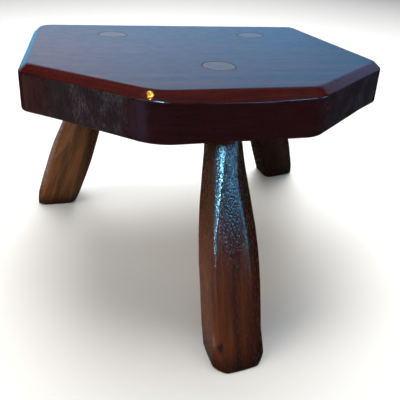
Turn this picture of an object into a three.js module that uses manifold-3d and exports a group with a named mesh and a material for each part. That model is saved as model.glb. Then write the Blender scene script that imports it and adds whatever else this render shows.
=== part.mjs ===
// Tripod stool: a six-sided plank seat on three splayed legs. Each leg is carved from one
// piece and ends in a round tenon that runs through the seat and lies flush with its top.
// Millimetres, +Z up, soles on z = 0. The front faces -Y, and left is -X.

import * as THREE from "three";
import { mergeVertices } from "three/addons/utils/BufferGeometryUtils.js";
import Module from "manifold-3d";

const wasm = await Module();
wasm.setup();

// Driving sizes

const STOOL_HEIGHT = 225;

const SEAT = {
  width: 325, // along the back edge
  depth: 282, // from the front edge to the back edge
  thickness: 38,
  leftTaper: 3, // how far the left edge runs in from the back corner to the cut corner
  cornerRadius: 12,
  // How far each front corner is cut off: across the front edge, and along the side edge.
  leftCut: { across: 98, along: 86 },
  rightCut: { across: 102, along: 80 },
  topChamfer: { inset: 7, drop: 6.5 },
  bottomChamfer: { inset: 1.5, drop: 1.5 },
};

const TENON = {
  diameter: 28,
  backSpacing: 156, // between the centres of the two back tenons
  backSetIn: 67.5, // from the back edge to their centres
  frontSetIn: 72.5, // from the front edge to the front tenon's centre
};

// Room for glue round each tenon and above each shoulder.
const GLUE_GAP = 0.3;

// What the three legs share, from the sole up.
const LEG = {
  soleBevel: 2,
  soleNarrowing: 1, // the sole is this much narrower than the belly
  neckDiameter: 30.5,
  neckTaper: 0.03, // how fast the half width shrinks at the neck, in mm per mm
  roundingLength: 50, // the facets fade into a round neck over this length
  edgeRadius: 1.5,
};

// The legs are carved by hand, so each has its own section. Splay is measured from the
// vertical. Heading is where the foot points in plan, from +X towards +Y, and turn is how far
// the section's width is turned from +X. Width and depth are those of the belly, and bow is
// how far the leg curves to its right halfway up. Each corner has its bevel: foot is its size
// up to the height start, and at the height end the section has become an octagon there.
const FRONT_LEG = {
  name: "front_leg",
  splay: 25.4,
  heading: -89.8,
  turn: 5,
  width: 51,
  depth: 39.5,
  bellyHeight: 61,
  bow: 2,
  backRight: { foot: 4, start: 110, end: 185 },
  backLeft: { foot: 3.5, start: 120, end: 185 },
  frontLeft: { foot: 2.6, start: 108, end: 185 },
  frontRight: { foot: 16, start: 140, end: 185 },
};
const BACK_LEFT_LEG = {
  name: "back_left_leg",
  splay: 24.8,
  heading: 147.1,
  turn: -1.4,
  width: 46.7,
  depth: 46.3,
  bellyHeight: 62,
  bow: -0.3,
  backRight: { foot: 3, start: 84, end: 185 },
  backLeft: { foot: 3, start: 84, end: 185 },
  frontLeft: { foot: 2.5, start: 78, end: 105 },
  frontRight: { foot: 3.7, start: 45, end: 133 },
};
const BACK_RIGHT_LEG = {
  name: "back_right_leg",
  splay: 30.2,
  heading: 42.1,
  turn: 12,
  width: 47.2,
  depth: 41.5,
  bellyHeight: 54,
  bow: 0.4,
  backRight: { foot: 3, start: 85, end: 185 },
  backLeft: { foot: 5, start: 85, end: 185 },
  frontLeft: { foot: 2.5, start: 85, end: 185 },
  frontRight: { foot: 2, start: 85, end: 185 },
};
const LEGS = [FRONT_LEG, BACK_LEFT_LEG, BACK_RIGHT_LEG];

// Facet counts

const SEAT_CORNER_STEPS = 6;
const BORE_SEGMENTS = 48;
const LEG_RINGS = 16;
const LEG_EDGES = 8;
const EDGE_STEPS = 2; // chords across each rounded edge of a leg
const OCTAGON_SHARE = 2 - Math.SQRT2; // an octagon's corner bevel, as a share of its half width

// Worked-out places

const seatTop = STOOL_HEIGHT;
const seatUnderside = STOOL_HEIGHT - SEAT.thickness;
const shoulderHeight = seatUnderside - GLUE_GAP;

const tenonCentres = {
  front_leg: new THREE.Vector2(0, -SEAT.depth / 2 + TENON.frontSetIn),
  back_left_leg: new THREE.Vector2(-TENON.backSpacing / 2, SEAT.depth / 2 - TENON.backSetIn),
  back_right_leg: new THREE.Vector2(TENON.backSpacing / 2, SEAT.depth / 2 - TENON.backSetIn),
};

const seatMaterial = new THREE.MeshStandardMaterial({ color: "#4a1d17", roughness: 0.22, metalness: 0 });
const legMaterial = new THREE.MeshStandardMaterial({ color: "#5a3620", roughness: 0.35, metalness: 0 });

// Closed mesh through a stack of rings that all have the same number of points, run
// anticlockwise seen from above and are listed from the bottom up.
function loft(rings) {
  const count = rings[0].length;
  const positions = rings.flat().flatMap((point) => point.toArray());
  const indices = [];
  for (let ring = 0; ring < rings.length - 1; ring++) {
    for (let i = 0; i < count; i++) {
      const next = (i + 1) % count;
      const lower = ring * count;
      const upper = lower + count;
      indices.push(lower + i, lower + next, upper + next);
      indices.push(lower + i, upper + next, upper + i);
    }
  }
  const top = (rings.length - 1) * count;
  for (let i = 1; i < count - 1; i++) {
    indices.push(0, i + 1, i);
    indices.push(top, top + i, top + i + 1);
  }
  const geometry = new THREE.BufferGeometry();
  geometry.setAttribute("position", new THREE.Float32BufferAttribute(positions, 3));
  geometry.setIndex(indices);
  geometry.computeVertexNormals();
  return geometry;
}

// Seat board

// Corners of the seat's outline, anticlockwise from the back left one, moved inwards.
function seatCorners(inset) {
  const side = SEAT.width / 2;
  const end = SEAT.depth / 2;
  const corners = [
    new THREE.Vector2(-side, end),
    new THREE.Vector2(-side + SEAT.leftTaper, -end + SEAT.leftCut.along),
    new THREE.Vector2(-side + SEAT.leftCut.across, -end),
    new THREE.Vector2(side - SEAT.rightCut.across, -end),
    new THREE.Vector2(side, -end + SEAT.rightCut.along),
    new THREE.Vector2(side, end),
  ];
  return corners.map((corner, i) => {
    const before = corners.at(i - 1);
    const after = corners[(i + 1) % corners.length];
    const arriving = corner.clone().sub(before).normalize();
    const leaving = after.clone().sub(corner).normalize();
    const inwardA = new THREE.Vector2(-arriving.y, arriving.x);
    const inwardB = new THREE.Vector2(-leaving.y, leaving.x);
    const shift = inset / (1 + inwardA.dot(inwardB));
    return corner.clone().addScaledVector(inwardA.add(inwardB), shift);
  });
}

// The outline as one ring at a height, with each corner rounded by a curve that starts and
// ends where an arc of that radius would.
function seatRing(inset, height) {
  const corners = seatCorners(inset);
  const radius = SEAT.cornerRadius;
  return corners.flatMap((corner, i) => {
    const toBefore = corners.at(i - 1).clone().sub(corner).normalize();
    const toAfter = corners[(i + 1) % corners.length].clone().sub(corner).normalize();
    const halfAngle = Math.acos(toBefore.dot(toAfter)) / 2;
    const reach = radius / Math.tan(halfAngle);
    const curve = new THREE.QuadraticBezierCurve(
      corner.clone().addScaledVector(toBefore, reach),
      corner,
      corner.clone().addScaledVector(toAfter, reach),
    );
    return curve.getPoints(SEAT_CORNER_STEPS).map((p) => new THREE.Vector3(p.x, p.y, height));
  });
}

// Solid that can be cut, from a mesh's positions.
function toSolid(geometry) {
  const bare = geometry.clone();
  bare.deleteAttribute("normal");
  bare.deleteAttribute("uv");
  const merged = mergeVertices(bare);
  return new wasm.Manifold(
    new wasm.Mesh({
      numProp: 3,
      vertProperties: Float32Array.from(merged.attributes.position.array),
      triVerts: Uint32Array.from(merged.index.array),
    }),
  );
}

function toGeometry(solid) {
  const mesh = solid.getMesh();
  const geometry = new THREE.BufferGeometry();
  geometry.setAttribute("position", new THREE.BufferAttribute(mesh.vertProperties, 3));
  geometry.setIndex(new THREE.BufferAttribute(mesh.triVerts, 1));
  geometry.computeVertexNormals();
  return geometry;
}

// Cylinder along a leg's axis, long enough to pass right through the seat.
function boreCutter(leg) {
  const axis = legAxis(leg);
  const radius = TENON.diameter / 2 + GLUE_GAP;
  const length = (2 * (SEAT.thickness + 2 * radius)) / axis.z;
  const cutter = new THREE.CylinderGeometry(radius, radius, length, BORE_SEGMENTS);
  cutter.applyQuaternion(new THREE.Quaternion().setFromUnitVectors(new THREE.Vector3(0, 1, 0), axis));
  const middle = legCentre(leg, seatTop - SEAT.thickness / 2);
  cutter.translate(middle.x, middle.y, middle.z);
  return toSolid(cutter);
}

// Plank with its bevelled edges, bored along the axis of each leg.
function seatBoard() {
  const { topChamfer, bottomChamfer } = SEAT;
  const blank = loft([
    seatRing(bottomChamfer.inset, seatUnderside),
    seatRing(0, seatUnderside + bottomChamfer.drop),
    seatRing(0, seatTop - topChamfer.drop),
    seatRing(topChamfer.inset, seatTop),
  ]);
  const bored = LEGS.reduce((solid, leg) => solid.subtract(boreCutter(leg)), toSolid(blank));
  const mesh = new THREE.Mesh(toGeometry(bored), seatMaterial);
  mesh.name = "seat_board";
  return mesh;
}

// Legs

// Unit vector up the leg, from the foot to the tenon.
function legAxis(leg) {
  const splay = THREE.MathUtils.degToRad(leg.splay);
  const heading = THREE.MathUtils.degToRad(leg.heading);
  return new THREE.Vector3(
    -Math.sin(splay) * Math.cos(heading),
    -Math.sin(splay) * Math.sin(heading),
    Math.cos(splay),
  );
}

// Where the leg's axis crosses a height.
function legCentre(leg, height) {
  const axis = legAxis(leg);
  const tenon = tenonCentres[leg.name];
  return new THREE.Vector3(tenon.x, tenon.y, seatTop).addScaledVector(axis, (height - seatTop) / axis.z);
}

// Half the leg's width or depth at a height, from its full size at the belly: it swells from
// the sole to the belly, then tapers in one smooth curve to the neck.
function halfSizeAt(leg, bellySize, height) {
  const belly = bellySize / 2;
  const sole = (bellySize - LEG.soleNarrowing) / 2;
  const neck = LEG.neckDiameter / 2;
  if (height < leg.bellyHeight) {
    const swell = Math.sin((Math.PI / 2) * (height / leg.bellyHeight));
    return THREE.MathUtils.lerp(sole, belly, swell);
  }
  const span = shoulderHeight - leg.bellyHeight;
  const t = (height - leg.bellyHeight) / span;
  const ease = t * t * (3 - 2 * t);
  return THREE.MathUtils.lerp(belly, neck, ease) + t * t * (1 - t) * LEG.neckTaper * span;
}

// How much is cut off a corner of the section, measured along its sides.
function bevelAt(corner, smallerHalf, height) {
  const t = THREE.MathUtils.clamp((height - corner.start) / (corner.end - corner.start), 0, 1);
  return THREE.MathUtils.lerp(corner.foot, OCTAGON_SHARE * smallerHalf, t);
}

// Zero on the facets, one where the neck is round.
function roundnessAt(height) {
  return THREE.MathUtils.smoothstep(height, shoulderHeight - LEG.roundingLength, shoulderHeight);
}

// Ellipse with its points in the order of a faceted section's.
function roundSection(halfWidth, halfDepth) {
  const count = LEG_EDGES * (EDGE_STEPS + 1);
  return Array.from({ length: count }, (_, i) => {
    const angle = ((i + 0.5) / count) * 2 * Math.PI;
    return new THREE.Vector2(halfWidth * Math.cos(angle), halfDepth * Math.sin(angle));
  });
}

// Rectangle with bevelled corners, and each of its eight edges rounded with a few chords.
function facetedSection(halfWidth, halfDepth, bevels) {
  const { backRight, backLeft, frontLeft, frontRight } = bevels;
  const corners = [
    new THREE.Vector2(halfWidth, halfDepth - backRight),
    new THREE.Vector2(halfWidth - backRight, halfDepth),
    new THREE.Vector2(-halfWidth + backLeft, halfDepth),
    new THREE.Vector2(-halfWidth, halfDepth - backLeft),
    new THREE.Vector2(-halfWidth, -halfDepth + frontLeft),
    new THREE.Vector2(-halfWidth + frontLeft, -halfDepth),
    new THREE.Vector2(halfWidth - frontRight, -halfDepth),
    new THREE.Vector2(halfWidth, -halfDepth + frontRight),
  ];
  return corners.flatMap((corner, i) => {
    const toBefore = corners.at(i - 1).clone().sub(corner);
    const toAfter = corners[(i + 1) % corners.length].clone().sub(corner);
    const reach = Math.min(LEG.edgeRadius, toBefore.length() / 3, toAfter.length() / 3);
    const curve = new THREE.QuadraticBezierCurve(
      corner.clone().addScaledVector(toBefore.normalize(), reach),
      corner,
      corner.clone().addScaledVector(toAfter.normalize(), reach),
    );
    return curve.getPoints(EDGE_STEPS);
  });
}

// Section of the leg square to its axis at a height, made smaller all round by an inset.
function legSection(leg, height, inset) {
  const halfWidth = halfSizeAt(leg, leg.width, height) - inset;
  const halfDepth = halfSizeAt(leg, leg.depth, height) - inset;
  const smallerHalf = Math.min(halfWidth, halfDepth);
  const bevels = {
    backRight: bevelAt(leg.backRight, smallerHalf, height),
    backLeft: bevelAt(leg.backLeft, smallerHalf, height),
    frontLeft: bevelAt(leg.frontLeft, smallerHalf, height),
    frontRight: bevelAt(leg.frontRight, smallerHalf, height),
  };
  const round = roundSection(halfWidth, halfDepth);
  const faceted = facetedSection(halfWidth, halfDepth, bevels);
  return faceted.map((point, i) => point.lerp(round[i], roundnessAt(height)));
}

// A section laid level at a height: its points slide along the leg's axis.
function levelRing(leg, height, section) {
  const axis = legAxis(leg);
  const turn = THREE.MathUtils.degToRad(leg.turn);
  const across = new THREE.Vector3(Math.cos(turn), Math.sin(turn), 0);
  across.addScaledVector(axis, -across.dot(axis)).normalize();
  const along = axis.clone().cross(across);
  const bowed = leg.bow * Math.sin(Math.PI * Math.min(height / shoulderHeight, 1));
  const centre = legCentre(leg, height);
  return section.map(({ x, y }) => {
    const offset = across.clone().multiplyScalar(x + bowed).addScaledVector(along, y);
    offset.addScaledVector(axis, -offset.z / axis.z);
    return centre.clone().add(offset);
  });
}

// Solid leg: the bevel round the sole, the carved body, the shoulder and the tenon.
function legMesh(leg) {
  const rings = [levelRing(leg, 0, legSection(leg, 0, LEG.soleBevel))];
  for (let i = 0; i <= LEG_RINGS; i++) {
    const height = THREE.MathUtils.lerp(LEG.soleBevel, shoulderHeight, i / LEG_RINGS);
    rings.push(levelRing(leg, height, legSection(leg, height, 0)));
  }
  const tenonSection = roundSection(TENON.diameter / 2, TENON.diameter / 2);
  rings.push(levelRing(leg, shoulderHeight, tenonSection));
  rings.push(levelRing(leg, seatTop, tenonSection));
  const mesh = new THREE.Mesh(loft(rings), legMaterial);
  mesh.name = leg.name;
  return mesh;
}

// Stool

const stool = new THREE.Group();
stool.add(seatBoard());
for (const leg of LEGS) {
  stool.add(legMesh(leg));
}

// The middle of the stool's footprint is the origin.
const middle = new THREE.Box3().setFromObject(stool).getCenter(new THREE.Vector3());
stool.position.set(-middle.x, -middle.y, 0);

export default stool;
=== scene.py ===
"""Tripod stool in varnished hardwood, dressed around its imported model.

The seat is a thick mahogany plank with two cut corners. Each of the three legs is carved
from one piece of walnut and ends in a round tenon that shows flush in the seat's top.
"""

import logging
import math
from dataclasses import dataclass, field
from enum import Enum
from typing import Any

import bmesh
import bpy
from mathutils import Matrix, Vector, noise


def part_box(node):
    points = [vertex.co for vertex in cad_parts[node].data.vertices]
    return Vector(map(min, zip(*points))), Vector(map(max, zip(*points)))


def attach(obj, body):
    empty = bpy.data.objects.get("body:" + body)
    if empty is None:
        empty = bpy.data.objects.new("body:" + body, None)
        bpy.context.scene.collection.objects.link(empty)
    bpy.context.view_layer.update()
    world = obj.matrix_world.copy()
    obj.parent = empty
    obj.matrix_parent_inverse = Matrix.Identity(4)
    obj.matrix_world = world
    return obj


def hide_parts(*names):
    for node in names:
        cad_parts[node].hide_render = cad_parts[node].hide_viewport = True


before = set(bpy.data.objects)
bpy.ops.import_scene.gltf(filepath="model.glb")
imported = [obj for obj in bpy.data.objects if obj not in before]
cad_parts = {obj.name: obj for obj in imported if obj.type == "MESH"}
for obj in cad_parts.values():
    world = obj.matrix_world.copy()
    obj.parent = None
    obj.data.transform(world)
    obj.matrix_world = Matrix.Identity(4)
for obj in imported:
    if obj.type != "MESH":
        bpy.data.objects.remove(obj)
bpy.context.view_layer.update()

log = logging.getLogger("stool")

Tree = bpy.types.NodeTree
Socket = bpy.types.NodeSocket
Size = tuple[float, float, float]
Span = tuple[float, float]
Stops = tuple[tuple[float, str], ...]

MM = 0.001
BODY = "root"
STOOL_HEIGHT = 225.0
SEAT_THICKNESS = 38.0
GLUE_GAP = 0.3
TENON_DIAMETER = 28.0
OCTAGON_SHARE = 2 - math.sqrt(2)
FLAT = 0.999

# what add_node is told for a smooth range, a mix of colours, and a sum with a scaled part;
# a range takes its value as input 0, its ends as 1 and 2 and the new ends as 3 and 4, and a
# mix takes its share as input 0 and its colours as 6 and 7
SMOOTH = {"interpolation_type": "SMOOTHSTEP"}
COLOUR = {"data_type": "RGBA", "output": 2}
SCALED_SUM = {"operation": "MULTIPLY_ADD"}


def clamp(value: float) -> float:
    """Limit a value to the range from 0 to 1."""
    return min(max(value, 0), 1)


def ease(t: float) -> float:
    """Turn an even rise from 0 to 1 into one that starts and ends gently."""
    return t * t * (3 - 2 * t)


def turn_corner(start: Vector, corner: Vector, stop: Vector, steps: int) -> list[Vector]:
    """Curve smoothly past a corner.

    Args:
        start: where the curve leaves the first side.
        corner: the corner that it rounds off.
        stop: where it meets the second side.
        steps: how many points it has.

    Returns:
        Points from start to stop.
    """
    shares = [step / (steps - 1) for step in range(steps)]
    return [start * (1 - t) ** 2 + corner * 2 * t * (1 - t) + stop * t * t for t in shares]


def linear(hex_colour: str) -> tuple[float, float, float, float]:
    """Turn an sRGB hex colour into linear RGBA.

    Args:
        hex_colour: six hex digits after a number sign.

    Returns:
        Red, green, blue and alpha, linear, with alpha 1.
    """
    digits = hex_colour.lstrip("#")
    channels = [int(digits[i:i + 2], 16) / 255 for i in (0, 2, 4)]
    values = [c / 12.92 if c <= 0.04045 else ((c + 0.055) / 1.055) ** 2.4 for c in channels]
    return (*values, 1.0)


def add_node(
    tree: Tree,
    kind: str,
    inputs: dict[Any, Any] | None = None,
    output: int | str = 0,
    stops: Stops = (),
    **settings: Any,
) -> Socket | None:
    """Add a node with its values, links and settings.

    Args:
        tree: the node tree that gets the node.
        kind: the node's type, without ShaderNode before it.
        inputs: a value, or an output socket to link, for each input by name or number.
        output: the name or number of the output that is wanted.
        stops: places and hex colours of a colour ramp.
        settings: properties of the node by name.

    Returns:
        The wanted output, or None from a node that has none.
    """
    node = tree.nodes.new("ShaderNode" + kind)
    for name, value in settings.items():
        setattr(node, name, value)
    for key, value in (inputs or {}).items():
        if isinstance(value, bpy.types.NodeSocket):
            tree.links.new(value, node.inputs[key])
        else:
            node.inputs[key].default_value = value
    if stops:
        elements = node.color_ramp.elements
        while len(elements) < len(stops):
            elements.new(0.5)
        for element, (place, colour) in zip(elements, stops):
            element.position = place
            element.color = linear(colour)
    return node.outputs[output] if node.outputs else None


def new_material(name: str) -> tuple[bpy.types.Material, Tree]:
    """Make an empty node material.

    Args:
        name: the material's name.

    Returns:
        The material and its node tree.
    """
    material = bpy.data.materials.new(name)
    material.use_nodes = True
    material.node_tree.nodes.clear()
    return material, material.node_tree


def grain(tree: Tree, place: Socket, size: Size, detail: float, distortion: float = 0.0) -> Socket:
    """Lay an uneven pattern whose features have a real size along each axis.

    Args:
        tree: the node tree that gets the pattern.
        place: coordinates in metres.
        size: feature size along X, Y and Z, in millimetres.
        detail: octaves of finer unevenness.
        distortion: how much the pattern swirls.

    Returns:
        The pattern, from 0 to 1 and mostly near 0.5.
    """
    scaled = add_node(tree, "Mapping", {"Vector": place, "Scale": [1 / (MM * s) for s in size]})
    uneven = {"Vector": scaled, "Scale": 1.0, "Detail": detail, "Distortion": distortion}
    return add_node(tree, "TexNoise", uneven)


class Zone(Enum):
    """A zone of the seat's surface, by the name of the attribute that marks it."""

    CHAMFER = "chamfer"
    SIDE = "side"
    END_GRAIN = "end_grain"


@dataclass(frozen=True)
class PlankGrain:
    """The seat's coordinates, its zones, and the grain that all of its finish follows."""

    tree: Tree
    place: Socket
    zones: dict[Zone, Socket]
    lines: Socket
    pores: Socket
    speckle: Socket


@dataclass(frozen=True)
class GlossVarnishedMahogany:
    """Quarter-sawn mahogany, stained red-brown and brushed with gloss varnish.

    The varnish gives a soft mirror on the flat top, with faint growth lines along the plank
    and a few pits. The chamfers are rubbed thinner, so a clear red shows through, with tiny
    sparkles in the brushed varnish. The sides are a dark maroon, partly the stain and partly
    painted shade. Where the plank's corners are cut off, the end grain is duller and has upright
    hatching in patches, whose grey is a painted reflection.
    Sizes, along X, Y and Z, and depths are in millimetres.
    """

    top_dark: str = "#33110e"
    top_light: str = "#491c17"
    chamfer_dark: str = "#300b09"
    chamfer_light: str = "#47130f"
    # the sides' maroon is partly the stain and partly painted shade
    shaded_side_dark: str = "#210c0f"
    shaded_side_light: str = "#2b0f13"
    end_dark: str = "#1e1418"
    # grey of the end grain's tool marks, a painted reflection
    hatch_reflection_grey: str = "#565a60"
    pore: str = "#170606"
    ior: float = 1.36
    smoothest: float = 0.16
    dullest: float = 0.23
    chamfer_gloss: float = 0.1
    end_dullness: float = 0.2
    full_coat: float = 0.56
    sunken_coat: float = 0.42
    end_thinness: float = 0.27
    figure_size: Size = (220.0, 7.0, 40.0)
    line_size: Size = (40.0, 1.5, 30.0)
    layer_size: Size = (24.0, 24.0, 1.1)
    pit_size: Size = (2.4, 2.0, 2.0)
    cloud_size: Size = (9.0, 6.0, 6.0)
    hatch_patch: Size = (14.0, 14.0, 16.0)
    wave_size: Size = (4.0, 4.0, 4.0)
    wave_depth: float = 0.2
    brush_depth: float = 0.06
    sparkle_depth: float = 0.12
    # finer on real mahogany, and drawn as coarse as they need to show
    pore_size: Size = (6.0, 0.7, 2.0)
    speckle_size: Size = (0.8, 0.8, 0.8)
    hatch_size: Size = (0.4, 0.4, 4.0)

    def material(self) -> bpy.types.Material:
        """Build the seat's material, which reads the plank's own attributes.

        Returns:
            The material.
        """
        material, tree = new_material("gloss_varnished_mahogany")
        place = add_node(tree, "TexCoord", output="Object")
        wood = PlankGrain(
            tree,
            place,
            {z: add_node(tree, "Attribute", output="Fac", attribute_name=z.value) for z in Zone},
            lines=grain(tree, place, self.line_size, 2.0, 0.1),
            pores=grain(tree, place, self.pore_size, 1.0),
            speckle=grain(tree, place, self.speckle_size, 1.0),
        )
        varnished = {
            "Base Color": self.stain(wood),
            "Roughness": self.dullness(wood),
            "IOR": self.ior,
            "Specular IOR Level": self.coat(wood),
            "Normal": self.relief(wood),
        }
        shader = add_node(tree, "BsdfPrincipled", varnished)
        add_node(tree, "OutputMaterial", {"Surface": shader})
        return material

    def stain(self, wood: PlankGrain) -> Socket:
        """Colour the top, the chamfers, the sides and the end grain.

        Args:
            wood: the seat's zones and grain.

        Returns:
            The colour.
        """
        tree = wood.tree
        figure = grain(tree, wood.place, self.figure_size, 1.0, 0.3)
        tone = add_node(tree, "Math", {0: wood.lines, 1: 0.6, 2: figure}, **SCALED_SUM)
        shade = add_node(tree, "MapRange", {0: tone, 1: 0.62, 2: 0.98}, **SMOOTH)
        layers = grain(tree, wood.place, self.layer_size, 2.0, 0.2)
        mottle = add_node(tree, "Math", {0: wood.speckle, 1: layers}, operation="ADD")
        mottled = add_node(tree, "MapRange", {0: mottle, 1: 0.65, 2: 1.35}, **SMOOTH)
        top, chamfer, side, hatch_reflection = (
            add_node(tree, "Mix", {0: share, 6: linear(dark), 7: linear(light)}, **COLOUR)
            for share, dark, light in (
                (shade, self.top_dark, self.top_light),
                (mottled, self.chamfer_dark, self.chamfer_light),
                (mottled, self.shaded_side_dark, self.shaded_side_light),
                # the hatching's grey is a painted reflection on the end grain's tool marks
                (self.hatching(wood), self.end_dark, self.hatch_reflection_grey),
            )
        )
        end = add_node(tree, "Mix", {0: 0.75, 6: side, 7: hatch_reflection}, **COLOUR)
        pits = grain(tree, wood.place, self.pit_size, 0.0)
        pitted = add_node(tree, "MapRange", {0: pits, 1: 0.76, 2: 0.82, 4: 0.8}, **SMOOTH)
        pored = add_node(tree, "MapRange", {0: wood.pores, 1: 0.6, 2: 0.72, 4: 0.5}, **SMOOTH)
        colour = top
        for share, over in (
            (pitted, linear(self.pore)),
            (wood.zones[Zone.CHAMFER], chamfer),
            (pored, linear(self.pore)),
            # the sides are darker partly as painted shade
            (wood.zones[Zone.SIDE], side),
            (wood.zones[Zone.END_GRAIN], end),
        ):
            colour = add_node(tree, "Mix", {0: share, 6: colour, 7: over}, **COLOUR)
        return colour

    def hatching(self, wood: PlankGrain) -> Socket:
        """Find where the end grain's short upright hatching is, which carries a painted grey reflection.

        Args:
            wood: the seat's zones and grain.

        Returns:
            The hatching's strength, from 0 to 1.
        """
        tree = wood.tree
        fine = grain(tree, wood.place, self.hatch_size, 1.5, 0.3)
        patches = grain(tree, wood.place, self.hatch_patch, 1.5)
        strength = add_node(tree, "MapRange", {0: patches, 1: 0.42, 2: 0.62, 3: 0.1}, **SMOOTH)
        found = add_node(tree, "MapRange", {0: fine, 1: 0.48, 2: 0.72}, **SMOOTH)
        return add_node(tree, "Math", {0: found, 1: strength}, operation="MULTIPLY")

    def dullness(self, wood: PlankGrain) -> Socket:
        """Cloud the gloss, which is keener on the chamfers and duller on end grain.

        Args:
            wood: the seat's zones and grain.

        Returns:
            The roughness.
        """
        tree = wood.tree
        clouds = grain(tree, wood.place, self.cloud_size, 3.0)
        clouded = {0: clouds, 1: 0.35, 2: 0.65, 3: self.dullest, 4: self.smoothest}
        rough = add_node(tree, "MapRange", clouded, **SMOOTH)
        changes = ((Zone.CHAMFER, -self.chamfer_gloss), (Zone.END_GRAIN, self.end_dullness))
        for zone, change in changes:
            rough = add_node(tree, "Math", {0: wood.zones[zone], 1: change, 2: rough}, **SCALED_SUM)
        return rough

    def coat(self, wood: PlankGrain) -> Socket:
        """Thin the varnish where it sinks into the pores and the end grain.

        Args:
            wood: the seat's zones and grain.

        Returns:
            The strength of the varnish's mirror.
        """
        tree = wood.tree
        sunk = add_node(tree, "Math", {0: wood.pores, 1: 0.6, 2: wood.lines}, **SCALED_SUM)
        soaked = {0: sunk, 1: 0.6, 2: 1.0, 3: self.full_coat, 4: self.sunken_coat}
        level = add_node(tree, "MapRange", soaked, **SMOOTH)
        thinned = {0: wood.zones[Zone.END_GRAIN], 1: -self.end_thinness, 2: level}
        return add_node(tree, "Math", thinned, **SCALED_SUM)

    def relief(self, wood: PlankGrain) -> Socket:
        """Let the varnish lie in waves on the edges, follow the grain and sparkle.

        Args:
            wood: the seat's zones and grain.

        Returns:
            The surface's normal.
        """
        tree = wood.tree
        chamfer = wood.zones[Zone.CHAMFER]
        edges = add_node(tree, "Math", {0: chamfer, 1: wood.zones[Zone.SIDE]}, operation="MAXIMUM")
        ridges = add_node(tree, "Math", {0: wood.pores, 1: 0.5, 2: wood.lines}, **SCALED_SUM)
        sparkle = add_node(tree, "Math", {0: chamfer, 1: 0.35, 2: 0.1}, **SCALED_SUM)
        waves = grain(tree, wood.place, self.wave_size, 1.0)
        flowed = {"Strength": edges, "Distance": self.wave_depth * MM, "Height": waves}
        brushed = {
            "Strength": 0.8,
            "Distance": self.brush_depth * MM,
            "Height": ridges,
            "Normal": add_node(tree, "Bump", flowed),
        }
        sparkling = {
            "Strength": sparkle,
            "Distance": self.sparkle_depth * MM,
            "Height": wood.speckle,
            "Normal": add_node(tree, "Bump", brushed),
        }
        return add_node(tree, "Bump", sparkling)


@dataclass(frozen=True)
class Mark:
    """A knot or a chip in a leg's surface, in the leg's own across, along and up, in millimetres."""

    place: Size
    size: Size
    colour: str
    ragged: float = 0.6
    edge_size: Size = (1.4, 1.4, 4.0)

    def spread(self, tree: Tree, local: Socket) -> dict[int, Any]:
        """Measure each place's distance from the mark's middle, for a ragged edge.

        Args:
            tree: the material's node tree.
            local: coordinates in the leg's own directions, in metres.

        Returns:
            The distance, and the range over which the mark fades.
        """
        spot = {"Location": Vector(self.place) * MM, "Scale": Vector(self.size) * MM}
        scaled = add_node(tree, "Mapping", {"Vector": local} | spot, vector_type="TEXTURE")
        away = add_node(tree, "VectorMath", {0: scaled}, "Value", operation="LENGTH")
        edge = grain(tree, local, self.edge_size, 1.0)
        reach = add_node(tree, "Math", {0: edge, 1: self.ragged * 2, 2: away}, **SCALED_SUM)
        return {0: reach, 1: self.ragged + 0.4, 2: self.ragged + 1.0, 3: 0.9, 4: 0.0}


@dataclass(frozen=True)
class LegGrain:
    """A leg's coordinates, and the grain that all of its finish follows.

    place is in the stool's directions, local in the leg's own and height above the floor,
    all in metres. on_end is 1 on the tenon's end.
    """

    tree: Tree
    place: Socket
    local: Socket
    height: Socket
    on_end: Socket
    lines: Socket
    pores: Socket


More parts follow.
